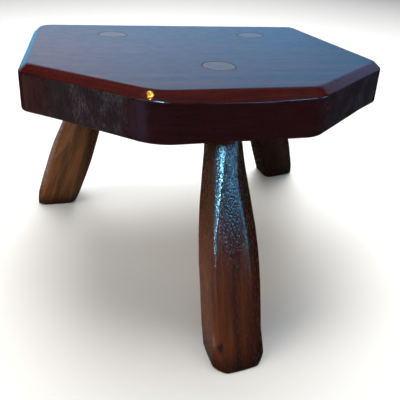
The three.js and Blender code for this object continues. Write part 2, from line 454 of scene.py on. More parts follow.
@dataclass(frozen=True)
class SatinVarnishedWalnut:
    """Walnut carved with a knife, oiled brown and wiped with satin varnish.

    Soft streaks of lighter and darker brown run down each leg. Open pores and the grit in
    the wiped varnish break up the highlights along the arrises. The neck under the seat and
    the sole near the floor are darkened as painted shade. The tenon's end grain is paler than
    the seat round it.
    Sizes, along the leg's own directions, heights and depths are in millimetres, and each
    pair of heights says where a tone or the grit starts and where it is full.
    """

    dark: str = "#3a2012"
    middle: str = "#57331d"
    light: str = "#6e4427"
    pore: str = "#1d100b"
    # painted shade: the colour that darkens the neck under the seat
    neck: str = "#201a10"
    end_grain: str = "#644a3d"
    end_ring: str = "#50392d"
    ior: float = 1.38
    smooth: float = 0.2
    dull: float = 0.32
    lean: float = 0.0
    # painted shade: how far the sole darkens towards the floor
    foot_shade: float = 0.8
    foot_height: float = 26.0
    # how strongly painted shade darkens the neck under the seat
    neck_painted_shade: float = 0.25
    neck_shade_heights: Span = (60.0, 150.0)
    end_heights: Span = (STOOL_HEIGHT - 0.8, STOOL_HEIGHT - 0.6)
    grit_heights: Span = (50.0, 100.0)
    grit_depth: float = 0.15
    carved_depth: float = 0.1
    marks: tuple[Mark, ...] = ()
    streak_size: Size = (9.0, 9.0, 120.0)
    line_size: Size = (1.4, 1.4, 40.0)
    ring_size: Size = (1.0, 3.0, 3.0)
    # finer on real walnut, and drawn as coarse as they need to show
    pore_size: Size = (0.7, 0.7, 5.0)
    grit_size: Size = (1.2, 1.2, 1.9)

    def material(self, leg: "CarvedLeg") -> bpy.types.Material:
        """Build one leg's material, with its grain along that leg.

        Args:
            leg: the leg that wears it.

        Returns:
            The material.
        """
        material, tree = new_material("satin_varnished_walnut_" + leg.name)
        place = add_node(tree, "TexCoord", output="Object")
        along_leg = {"Location": leg.centre(0) * MM, "Rotation": leg.basis().to_euler()}
        local = add_node(tree, "Mapping", {"Vector": place} | along_leg, vector_type="TEXTURE")
        height = add_node(tree, "SeparateXYZ", {0: place}, output=2)
        low, high = (MM * h for h in self.end_heights)
        wood = LegGrain(
            tree,
            place,
            local,
            height,
            on_end=add_node(tree, "MapRange", {0: height, 1: low, 2: high}, **SMOOTH),
            lines=grain(tree, local, self.line_size, 1.5),
            pores=grain(tree, local, self.pore_size, 1.0),
        )
        varnished = {
            "Base Color": self.oiled(wood),
            "Roughness": self.dullness(wood),
            "IOR": self.ior,
            "Normal": self.relief(wood),
        }
        shader = add_node(tree, "BsdfPrincipled", varnished)
        add_node(tree, "OutputMaterial", {"Surface": shader})
        return material

    def oiled(self, wood: LegGrain) -> Socket:
        """Colour the leg and its tenon's end.

        Args:
            wood: the leg's coordinates and grain.

        Returns:
            The colour.
        """
        tree = wood.tree
        streaks = grain(tree, wood.local, self.streak_size, 2.0, 0.4)
        across = add_node(tree, "SeparateXYZ", {0: wood.local})
        leaning = add_node(tree, "Math", {0: across, 1: -self.lean / MM, 2: streaks}, **SCALED_SUM)
        tone = add_node(tree, "MapRange", {0: leaning, 1: 0.28, 2: 0.74}, **SMOOTH)
        streaked = ((0.0, self.dark), (0.5, self.middle), (1.0, self.light))
        colour = add_node(tree, "ValToRGB", {"Fac": tone}, stops=streaked)
        foot, low, high = (MM * h for h in (self.foot_height, *self.neck_shade_heights))
        layers = (
            ({0: wood.lines, 1: 0.35, 2: 0.62, 3: 0.45, 4: 0.0}, self.dark),
            ({0: wood.pores, 1: 0.56, 2: 0.68, 4: 0.8}, self.pore),
            *((mark.spread(tree, wood.local), mark.colour) for mark in self.marks),
            # painted shade darkens the sole near the floor
            ({0: wood.height, 1: 0.0, 2: foot, 3: self.foot_shade, 4: 0.0}, self.pore),
            # painted shade darkens the neck under the seat
            ({0: wood.height, 1: low, 2: high, 4: self.neck_painted_shade}, self.neck),
        )
        for where, over in layers:
            share = add_node(tree, "MapRange", where, **SMOOTH)
            colour = add_node(tree, "Mix", {0: share, 6: colour, 7: linear(over)}, **COLOUR)
        rings = grain(tree, wood.place, self.ring_size, 1.0)
        ringed = add_node(tree, "MapRange", {0: rings, 1: 0.3, 2: 0.7}, **SMOOTH)
        ends = {0: ringed, 6: linear(self.end_grain), 7: linear(self.end_ring)}
        end = add_node(tree, "Mix", ends, **COLOUR)
        return add_node(tree, "Mix", {0: wood.on_end, 6: colour, 7: end}, **COLOUR)

    def dullness(self, wood: LegGrain) -> Socket:
        """Dull the satin in the open pores, but not on the tenon's end.

        Args:
            wood: the leg's coordinates and grain.

        Returns:
            The roughness.
        """
        pored = {0: wood.pores, 1: 0.45, 2: 0.68, 3: self.smooth, 4: self.dull}
        rough = add_node(wood.tree, "MapRange", pored, **SMOOTH)
        return add_node(wood.tree, "Mix", {0: wood.on_end, 2: rough, 3: self.smooth})

    def relief(self, wood: LegGrain) -> Socket:
        """Raise the grain, and the grit that is strongest on the upper leg.

        Args:
            wood: the leg's coordinates and grain.

        Returns:
            The surface's normal.
        """
        tree = wood.tree
        ridges = add_node(tree, "Math", {0: wood.lines, 1: wood.pores}, operation="ADD")
        raised = {"Strength": 0.45, "Distance": self.carved_depth * MM, "Height": ridges}
        carved = add_node(tree, "Bump", raised)
        low, high = (MM * h for h in self.grit_heights)
        rise = {0: wood.height, 1: low, 2: high, 3: 0.3, 4: 0.9}
        gritty = {
            "Strength": add_node(tree, "MapRange", rise, **SMOOTH),
            "Distance": self.grit_depth * MM,
            "Height": grain(tree, wood.local, self.grit_size, 1.0),
            "Normal": carved,
        }
        return add_node(tree, "Bump", gritty)


def to_piece(bm: bmesh.types.BMesh, name: str) -> bpy.types.Object:
    """Turn a bmesh in millimetres into a smooth object in metres at the origin.

    An extrusion leaves its faces in another order at each run. They are sorted by their
    vertices, so that a mesh and the cuts made in it come out the same each time.

    Args:
        bm: the mesh, which is freed.
        name: the object's name.

    Returns:
        The object.
    """
    bmesh.ops.scale(bm, vec=(MM, MM, MM), verts=bm.verts)
    bm.verts.index_update()
    ranks = {}
    for face in bm.faces:
        face.smooth = True
        indices = [vert.index for vert in face.verts]
        ranks[face] = min(indices) * len(bm.verts) + max(indices)
    bm.faces.sort(key=ranks.get)
    mesh = bpy.data.meshes.new(name)
    bm.to_mesh(mesh)
    bm.free()
    piece = bpy.data.objects.new(name, mesh)
    bpy.context.scene.collection.objects.link(piece)
    return piece


def extrude_ring(bm: bmesh.types.BMesh, ring: list[bmesh.types.BMVert]) -> list[bmesh.types.BMVert]:
    """Extrude the open ring at the top of a shape.

    Args:
        bm: the shape's mesh.
        ring: the ring's vertices in order.

    Returns:
        The new ring's vertices in the same order.
    """
    chosen = set(ring)
    edges = dict.fromkeys(e for v in ring for e in v.link_edges if e.other_vert(v) in chosen)
    made = bmesh.ops.extrude_edge_only(bm, edges=list(edges))["geom"]
    fresh = {v for v in made if isinstance(v, bmesh.types.BMVert)}
    following = []
    for vert in ring:
        neighbours = [e.other_vert(vert) for e in vert.link_edges]
        following.append(next(v for v in neighbours if v in fresh))
    return following


def close_ends(bm: bmesh.types.BMesh) -> None:
    """Close a shape's two open rings, and point its faces outwards."""
    bmesh.ops.holes_fill(bm, edges=bm.edges)
    bmesh.ops.recalc_face_normals(bm, faces=bm.faces)


def wear(piece: bpy.types.Object, material: bpy.types.Material, slot: str, *nodes: str) -> None:
    """Dress a piece, put it on the stool's body and hide the solids that it replaces.

    Args:
        piece: the finished piece.
        material: what it is made of.
        slot: not used.
        nodes: the solids that the piece replaces.
    """
    piece.data.materials.clear()
    piece.data.materials.append(material)
    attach(piece, BODY)
    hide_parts(*nodes)


class Corner(Enum):
    """A corner of a leg's section, as the signs of its place across and along."""

    BACK_RIGHT = (1, 1)
    BACK_LEFT = (-1, 1)
    FRONT_LEFT = (-1, -1)
    FRONT_RIGHT = (1, -1)


@dataclass(frozen=True)
class CornerBevel:
    """How much is cut off one corner of a leg, in millimetres.

    sole is the cut at the floor and foot the cut from worn_height up. From the height start
    on, the section turns into an octagon, and it is one at the height end. There the cut is
    neck_share of the section's smaller half, which for an even octagon is OCTAGON_SHARE.
    """

    foot: float
    start: float
    end: float = 185.0
    sole: float = 5.0
    worn_height: float = 24.0
    neck_share: float = OCTAGON_SHARE

    def size(self, height: float, smaller_half: float) -> float:
        """Work out the cut at a height.

        Args:
            height: the height above the floor.
            smaller_half: half the section's width or depth there, whichever is smaller.

        Returns:
            How much is cut off each of the corner's two sides.
        """
        if height < self.worn_height:
            t = height / self.worn_height
            return self.sole + (self.foot - self.sole) * math.sin(math.pi / 2 * t)
        t = clamp((height - self.start) / (self.end - self.start))
        return self.foot + (self.neck_share * smaller_half - self.foot) * t


@dataclass
class CarvedLeg:
    """A leg carved from one billet, with a round tenon at its top. Millimetres and degrees."""

    name: str
    splay: float
    heading: float
    turn: float
    width: float
    depth: float
    belly_height: float
    bow: float
    corners: dict[Corner, CornerBevel]
    tenon_place: Vector
    shoulder: float = STOOL_HEIGHT - SEAT_THICKNESS - GLUE_GAP
    neck_diameter: float = 30.5
    neck_taper: float = 0.03
    sole_narrowing: float = 1.0
    sole_round: float = 1.9
    rounding_length: float = 50.0
    edge_radius: float = 2.0
    crown: float = 0.35
    full_crown_width: float = 20.0
    tool_marks: float = 0.22
    mark_width: float = 9.0
    mark_length: float = 30.0
    mark_fade: float = 12.0
    tenon_ease: float = 0.5
    edge_steps: int = 5
    flat_steps: int = 3
    sole_steps: int = 4
    rings: int = 60

    def axis(self) -> Vector:
        """Find the direction up the leg.

        Returns:
            The unit vector.
        """
        splay = math.radians(self.splay)
        heading = math.radians(self.heading)
        level = -math.sin(splay)
        return Vector((level * math.cos(heading), level * math.sin(heading), math.cos(splay)))

    def basis(self) -> Matrix:
        """Find the leg's own directions.

        Returns:
            The leg's across, along and axis directions as a matrix's columns.
        """
        axis = self.axis()
        turn = math.radians(self.turn)
        across = Vector((math.cos(turn), math.sin(turn), 0))
        across = (across - axis * across.dot(axis)).normalized()
        return Matrix((across, axis.cross(across), axis)).transposed()

    def centre(self, height: float) -> Vector:
        """Find where the leg's axis crosses a height.

        Args:
            height: the height above the floor.

        Returns:
            The point.
        """
        axis = self.axis()
        top = Vector((self.tenon_place.x, self.tenon_place.y, STOOL_HEIGHT))
        return top + axis * ((height - STOOL_HEIGHT) / axis.z)

    def half_size(self, belly_size: float, height: float) -> float:
        """Work out half the width or depth at a height.

        Args:
            belly_size: the full width or depth at the belly.
            height: the height above the floor.

        Returns:
            Half the width or depth there.
        """
        belly = belly_size / 2
        if height < self.belly_height:
            swell = math.sin(math.pi / 2 * height / self.belly_height)
            return belly - self.sole_narrowing / 2 * (1 - swell)
        length = self.shoulder - self.belly_height
        t = min((height - self.belly_height) / length, 1)
        neck = self.neck_diameter / 2
        return belly + (neck - belly) * ease(t) + t * t * (1 - t) * self.neck_taper * length

    def arrises(self, height: float, wide: float, deep: float) -> list[Vector]:
        """Find the two arrises of each corner's bevel at a height.

        Args:
            height: the height above the floor.
            wide: half the width there.
            deep: half the depth there.

        Returns:
            Points across and along, anticlockwise.
        """
        found = []
        for corner, cut in self.corners.items():
            sign_x, sign_y = corner.value
            size = cut.size(height, min(wide, deep))
            on_side = Vector((sign_x * wide, sign_y * (deep - size)))
            on_face = Vector((sign_x * (wide - size), sign_y * deep))
            found += [on_side, on_face] if sign_x == sign_y else [on_face, on_side]
        return found

    def faceted(self, arrises: list[Vector]) -> list[Vector]:
        """Soften the arrises, and crown the flats between them.

        Args:
            arrises: points across and along, anticlockwise.

        Returns:
            The section's points in the same order.
        """
        points = []
        for i, arris in enumerate(arrises):
            before = arrises[i - 1] - arris
            after = arrises[(i + 1) % len(arrises)] - arris
            reach = min(self.edge_radius, before.length / 3, after.length / 3)
            start = arris + before.normalized() * reach
            stop = arris + after.normalized() * reach
            points += turn_corner(start, arris, stop, self.edge_steps)
            next_start = arris + after - after.normalized() * min(self.edge_radius, after.length / 3)
            outward = Vector((after.y, -after.x)).normalized()
            for step in range(self.flat_steps):
                t = (step + 1) / (self.flat_steps + 1)
                bulge = 4 * t * (1 - t) * self.crown * min(after.length / self.full_crown_width, 1)
                points.append(stop.lerp(next_start, t) + outward * bulge)
        return points

    def section(self, height: float, inset: float) -> list[Vector]:
        """Work out the leg's section at a height, faceted below and round at the shoulder.

        Args:
            height: the height above the floor.
            inset: how much smaller the section is all round.

        Returns:
            Points across and along, anticlockwise.
        """
        wide = self.half_size(self.width, height) - inset
        deep = self.half_size(self.depth, height) - inset
        points = self.faceted(self.arrises(height, wide, deep))
        roundness = ease(clamp((height - self.shoulder + self.rounding_length) / self.rounding_length))
        oval = self.round_section(wide, deep, len(points))
        return [point.lerp(target, roundness) for point, target in zip(points, oval)]

    def round_section(self, wide: float, deep: float, count: int) -> list[Vector]:
        """Work out a round section, with its points where a faceted section has them.

        Args:
            wide: half its width.
            deep: half its depth.
            count: how many points it has.

        Returns:
            Points across and along, anticlockwise.
        """
        first = math.pi / 8 - (self.edge_steps - 1) / 2 / count * 2 * math.pi
        angles = [first + i / count * 2 * math.pi for i in range(count)]
        return [Vector((wide * math.cos(a), deep * math.sin(a))) for a in angles]

    def place_ring(self, ring: list[bmesh.types.BMVert], height: float, section: list[Vector]) -> None:
        """Move a ring of vertices to a section that lies level at a height.

        Args:
            ring: the vertices, in the section's order.
            height: the height above the floor.
            section: points across and along.
        """
        basis = self.basis()
        axis = self.axis()
        centre = self.centre(height)
        bowed = self.bow * math.sin(math.pi * min(height / self.shoulder, 1))
        for vert, point in zip(ring, section):
            offset = basis @ Vector((point.x + bowed, point.y, 0))
            vert.co = centre + offset - axis * (offset.z / axis.z)

    def loft(self, sections: list[tuple[float, list[Vector]]]) -> bmesh.types.BMesh:
        """Shape a solid along the leg's axis, ring by ring.

        Args:
            sections: heights above the floor, each with points across and along.

        Returns:
            The solid as a closed mesh.
        """
        bm = bmesh.new()
        ring = bmesh.ops.create_circle(bm, segments=len(sections[0][1]), radius=1)["verts"]
        for i, (height, section) in enumerate(sections):
            if i:
                ring = extrude_ring(bm, ring)
            self.place_ring(ring, height, section)
        close_ends(bm)
        return bm

    def stations(self) -> list[tuple[float, float]]:
        """List the body's rings, from the sole to the shoulder.

        Returns:
            Each ring's height and inset.
        """
        radius = self.sole_round
        turns = [math.pi / 2 * i / self.sole_steps for i in range(self.sole_steps + 1)]
        rounding = [(radius * (1 - math.cos(a)), radius * (1 - math.sin(a))) for a in turns]
        rises = [i / self.rings for i in range(1, self.rings + 1)]
        return rounding + [(radius + (self.shoulder - radius) * t, 0.0) for t in rises]

    def build(self) -> bpy.types.Object:
        """Carve the leg and turn its tenon.

        Returns:
            The leg as an object.
        """
        sections = [(height, self.section(height, inset)) for height, inset in self.stations()]
        count = len(sections[0][1])
        radius = TENON_DIAMETER / 2
        eased = radius - self.tenon_ease
        sections += [
            (self.shoulder, self.round_section(radius, radius, count)),
            (STOOL_HEIGHT - self.tenon_ease, self.round_section(radius, radius, count)),
            (STOOL_HEIGHT, self.round_section(eased, eased, count)),
        ]
        bm = self.loft(sections)
        self.leave_tool_marks(bm)
        piece = to_piece(bm, self.name + "_carved")
        self.flatten_ends(piece)
        return piece

    def leave_tool_marks(self, bm: bmesh.types.BMesh) -> None:
        """Shift the body's surface by a smooth fraction of a millimetre, as a knife leaves it.

        Args:
            bm: the leg's mesh.
        """
        bm.normal_update()
        shifts = []
        for vert in bm.verts:
            height = vert.co.z
            fade = clamp(height / self.mark_fade) * clamp((self.shoulder - height) / self.mark_fade)
            sample = (vert.co.x / self.mark_width, vert.co.y / self.mark_width, height / self.mark_length)
            shifts.append(vert.normal * (noise.noise(sample) * self.tool_marks * fade))
        for vert, shift in zip(bm.verts, shifts):
            vert.co += shift

    @staticmethod
    def flatten_ends(piece: bpy.types.Object) -> None:
        """Shade the sole and the tenon's end flat.

        Args:
            piece: the leg.
        """
        for face in piece.data.polygons:
            if abs(face.normal.z) > FLAT and len(face.vertices) > 4:
                face.use_smooth = False


@dataclass
class SeatBoard:
    """The plank seat, in millimetres, centred on its own outline.

    The corners run anticlockwise from the back left one. The chamfer's lower arris dips by
    front_dip along the front, and wavers by hand_work as a hand plane leaves it. The left and
    right ends lean out by end_flare at their foot.
    """

    width: float = 325.0
    depth: float = 282.0
    thickness: float = SEAT_THICKNESS
    left_taper: float = 3.0
    left_cut: Span = (98.0, 86.0)
    right_cut: Span = (102.0, 80.0)
    corner_radii: tuple[float, ...] = (22.0, 16.0, 42.0, 28.0, 20.0, 14.0)
    least_radius: float = 4.0
    chamfer_inset: float = 7.0
    chamfer_drop: float = 6.0
    front_dip: float = 2.3
    dip_fade: float = 12.0
    bottom_ease: float = 2.5
    lower_arris: float = 1.0
    upper_arris: float = 1.5
    rim_flare: float = 0.5
    end_flare: float = 3.0
    flare_fade: float = 30.0
    hand_work: float = 0.35
    waver_length: float = 22.0
    corner_steps: int = 12
    edge_steps: int = 24
    turn_steps: int = 6
    side_steps: int = 5
    bore_steps: int = 64
    place: Vector = field(default_factory=Vector)

    def underside(self) -> float:
        """Return the height of the seat's underside."""
        return STOOL_HEIGHT - self.thickness

    def outline(self, inset: float = 0.0) -> list[Vector]:
        """Find the six corners.

        Args:
            inset: how far the sides are moved inwards.

        Returns:
            The corners at height 0.
        """
        side = self.width / 2
        end = self.depth / 2
        left_across, left_along = self.left_cut
        right_across, right_along = self.right_cut
        plain = [
            Vector((-side, end, 0)),
            Vector((-side + self.left_taper, -end + left_along, 0)),
            Vector((-side + left_across, -end, 0)),
            Vector((side - right_across, -end, 0)),
            Vector((side, -end + right_along, 0)),
            Vector((side, end, 0)),
        ]
        corners = []
        for i, corner in enumerate(plain):
            before = (corner - plain[i - 1]).normalized()
            after = (plain[(i + 1) % len(plain)] - corner).normalized()
            inwards = Vector((-before.y - after.y, before.x + after.x, 0))
            corners.append(corner + self.place + inwards * (inset / (1 + before.dot(after))))
        return corners

    def rounded(self, inset: float) -> list[Vector]:
        """Round the outline's corners.

        Args:
            inset: how far the sides are moved inwards.

        Returns:
            Points at height 0, as many for each inset.
        """
        corners = self.outline(inset)
        curves = []
        for i, corner in enumerate(corners):
            before = corners[i - 1] - corner
            after = corners[(i + 1) % len(corners)] - corner
            radius = max(self.corner_radii[i] - inset, self.least_radius)
            reach = radius / math.tan(before.angle(after) / 2)
            start = corner + before.normalized() * reach
            stop = corner + after.normalized() * reach
            curves.append(turn_corner(start, corner, stop, self.corner_steps))
        points = []
        for i, curve in enumerate(curves):
            points += curve
            following = curves[(i + 1) % len(curves)][0]
            for step in range(1, self.edge_steps):
                points.append(curve[-1].lerp(following, step / self.edge_steps))
        return points

    def end_grain_at(self, index: int) -> float:
        """Find how much of the end grain shows at a point of the outline.

        Args:
            index: the point's number in the rounded outline.

        Returns:
            A share from 0 to 1, which fades towards the cut corners' ends.
        """
        left_cut, right_cut = 1, 3
        side, step = divmod(index, self.corner_steps + self.edge_steps - 1)
        along = (step - self.corner_steps) / self.edge_steps
        if side == left_cut:
            coming, going = (along - 0.08) / 0.2, (0.92 - along) / 0.1
            return clamp(min(coming, going))
        if side == right_cut:
            return clamp((step - 5) / 12)
        return 0

    def drop_at(self, point: Vector) -> float:
        """Find how far the chamfer's lower arris lies below the top.

        Args:
            point: a point of the outline.

        Returns:
            The drop near that point.
        """
        left, right = self.outline()[2:4]
        t = clamp((point.x - left.x) / (right.x - left.x))
        near = clamp(1 - (point.y - left.y) / self.dip_fade)
        waver = noise.noise((point.x / self.waver_length, point.y / self.waver_length, 3.0))
        dip = self.front_dip * math.sin(math.pi * t) * near
        return self.chamfer_drop + dip + waver * self.hand_work

    def flare_at(self, point: Vector) -> float:
        """Find how far the foot of the seat's left or right end stands out.

        Args:
            point: a point of the outline.

        Returns:
            The shift at the underside, positive to the right.
        """
        middle = self.place.x
        near_left = 1 - (point.x - middle + self.width / 2) / self.flare_fade
        near_right = 1 - (middle + self.width / 2 - point.x) / self.flare_fade
        return self.end_flare * (max(near_right, 0) - max(near_left, 0))

    def profile(self, drop: float) -> list[tuple[float, float]]:
        """Trace the edge from the underside to the top.

        Args:
            drop: how far the chamfer's lower arris lies below the top.

        Returns:
            Insets and heights.
        """
        foot = self.underside()
        points = []
        for i in range(self.turn_steps):
            angle = math.pi / 2 * i / (self.turn_steps - 1)
            inset = self.bottom_ease * (1 - math.sin(angle))
            points.append((inset, foot + self.bottom_ease * (1 - math.cos(angle))))
        lower = Vector((0, STOOL_HEIGHT - drop))
        upper = Vector((self.chamfer_inset, STOOL_HEIGHT))
        slope = (upper - lower).normalized()
        side_top = lower.y - self.lower_arris
        side_foot = foot + self.bottom_ease
        for i in range(1, self.side_steps + 1):
            points.append((0.0, side_foot + (side_top - side_foot) * i / (self.side_steps + 1)))
        arrises = (
            (lower - Vector((0, self.lower_arris)), lower, lower + slope * self.lower_arris),
            (upper - slope * self.upper_arris, upper, upper + Vector((self.upper_arris, 0))),
        )
        for start, arris, stop in arrises:
            points += [(p.x, p.y) for p in turn_corner(start, arris, stop, self.turn_steps)]
        return points

    def plank(self) -> bmesh.types.BMesh:
        """Shape the plank ring by ring from its underside to its top.

        Returns:
            The plank as a closed mesh, with its zones as attributes.
        """
        bm = bmesh.new()
        zones = {zone: bm.verts.layers.float.new(zone.value) for zone in Zone}
        outer = self.rounded(0)
        profiles = [self.profile(self.drop_at(point)) for point in outer]
        ends = [self.end_grain_at(i) for i in range(len(outer))]
        ring = bmesh.ops.create_circle(bm, segments=len(outer), radius=1)["verts"]
        # the chamfer runs from the middle of its lower arris to that of its upper one
        lower = self.turn_steps + self.side_steps + self.turn_steps // 2
        upper = lower + self.turn_steps - 1
        for level in range(len(profiles[0])):
            if level:
                ring = extrude_ring(bm, ring)
            shapes = {}
            for i, vert in enumerate(ring):
                inset, height = profiles[i][level]
                if inset not in shapes:
                    shapes[inset] = self.rounded(inset)
                flare = self.flare_at(outer[i]) * (STOOL_HEIGHT - height) / self.thickness
                vert.co = shapes[inset][i] + Vector((flare, 0, height))
                vert[zones[Zone.CHAMFER]] = float(lower < level <= upper)
                vert[zones[Zone.SIDE]] = float(level <= lower)
                vert[zones[Zone.END_GRAIN]] = ends[i] * float(1 < level < lower)
        close_ends(bm)
        return bm

    def bore_cutter(self, leg: CarvedLeg) -> bpy.types.Object:
        """Make the shape that a bore takes out of the seat, with its rim eased.

        Args:
            leg: the leg whose tenon goes in.

        Returns:
            The cutter as an object.
        """
        radius = TENON_DIAMETER / 2 + GLUE_GAP
        below, above = 4.0, 1.0
        rim = radius + self.rim_flare
        sizes = [
            (self.underside() - below, radius),
            (STOOL_HEIGHT - self.rim_flare, radius),
            (STOOL_HEIGHT, rim),
            (STOOL_HEIGHT + above, rim + above),
        ]
        sections = [(height, leg.round_section(r, r, self.bore_steps)) for height, r in sizes]
        return to_piece(leg.loft(sections), "bore_cutter")

    def build(self, legs: list[CarvedLeg]) -> bpy.types.Object:
        """Make the seat with a bore for each leg.

        Args:
            legs: the legs that it stands on.

        Returns:
            The seat as an object.
        """
        piece = to_piece(self.plank(), "seat_plank")
        for leg in legs:
            cutter = self.bore_cutter(leg)
            modifier = piece.modifiers.new("bore", "BOOLEAN")
            modifier.operation = "DIFFERENCE"
            modifier.solver = "EXACT"
            modifier.object = cutter
            bpy.context.view_layer.update()
            result = piece.evaluated_get(bpy.context.evaluated_depsgraph_get())
            bored = bpy.data.meshes.new_from_object(result)
            piece.modifiers.clear()
            piece.data = bored
            bpy.data.objects.remove(cutter)
        for face in piece.data.polygons:
            face.use_smooth = abs(face.normal.z) < FLAT
        self.mend_attributes(piece.data, legs)
        return piece

    def mend_attributes(self, mesh: bpy.types.Mesh, legs: list[CarvedLeg]) -> None:
        """Give the bores' rims and walls the zones of the faces that they cut.

        Args:
            mesh: the bored plank, in metres.
            legs: the legs, whose axes the bores follow.
        """
        middle = STOOL_HEIGHT - self.thickness / 2
        for vert in mesh.vertices:
            place = vert.co / MM
            if all((place - leg.centre(place.z)).xy.length > TENON_DIAMETER for leg in legs):
                continue
            for zone in Zone:
                mesh.attributes[zone.value].data[vert.index].value = 0
            mesh.attributes[Zone.SIDE.value].data[vert.index].value = float(place.z < middle)


@dataclass
class StudioCamera:
    """The camera at the photograph's angle. Metres and radians, and millimetres for the lens."""

    place: Vector = field(default_factory=lambda: Vector((-0.10808, -0.40429, 0.30733)))
    yaw: float = 0.26482
    pitch: float = 0.53904
    roll: float = 0.05301
    lens: float = 37.69
    sensor: float = 36.0
    nearest: float = 0.01

    def build(self) -> bpy.types.Object:
        """Set the camera up and make it the scene's.

        Returns:
            The camera.
        """
        ahead = Vector((
            math.sin(self.yaw) * math.cos(self.pitch),
            math.cos(self.yaw) * math.cos(self.pitch),
            -math.sin(self.pitch),
        ))
        level_right = Vector((math.cos(self.yaw), -math.sin(self.yaw), 0))
        level_up = level_right.cross(ahead)
        right = level_right * math.cos(self.roll) + level_up * math.sin(self.roll)
        up = level_up * math.cos(self.roll) - level_right * math.sin(self.roll)
        data = bpy.data.cameras.new("camera")
        data.lens = self.lens
        data.sensor_width = self.sensor
        data.sensor_fit = "HORIZONTAL"
        data.clip_start = self.nearest
        camera = bpy.data.objects.new("camera", data)
        turned = Matrix((right, up, -ahead)).transposed().to_4x4()
        camera.matrix_world = Matrix.Translation(self.place) @ turned
        bpy.context.scene.collection.objects.link(camera)
        bpy.context.scene.camera = camera
        return camera


class Reach(Enum):
    """What a lamp is for: lighting the stool, or being mirrored in its varnish."""

    FILL = (True, False)
    GLINT = (False, True)


@dataclass(frozen=True)
class Softbox:
    """A lamp behind a rectangle of cloth, facing the stool. Metres and watts."""

    name: str
    place: Size
    width: float
    height: float
    power: float
    colour: str
    reach: Reach
    aim: Size = (0.0, 0.0, 0.12)

    def build(self) -> bpy.types.Object:
        """Hang the lamp.

        Returns:
            The lamp, which the camera doesn't see.
        """
        data = bpy.data.lights.new(self.name, "AREA")
        data.shape = "RECTANGLE"
        data.size = self.width
        data.size_y = self.height
        data.energy = self.power
        data.color = linear(self.colour)[:3]
        lamp = bpy.data.objects.new(self.name, data)
        towards = Vector(self.aim) - Vector(self.place)
        lamp.location = self.place
        lamp.rotation_euler = towards.to_track_quat("-Z", "Y").to_euler()
        lamp.visible_camera = False
        lamp.visible_diffuse, lamp.visible_glossy = self.reach.value
        bpy.context.scene.collection.objects.link(lamp)
        return lamp


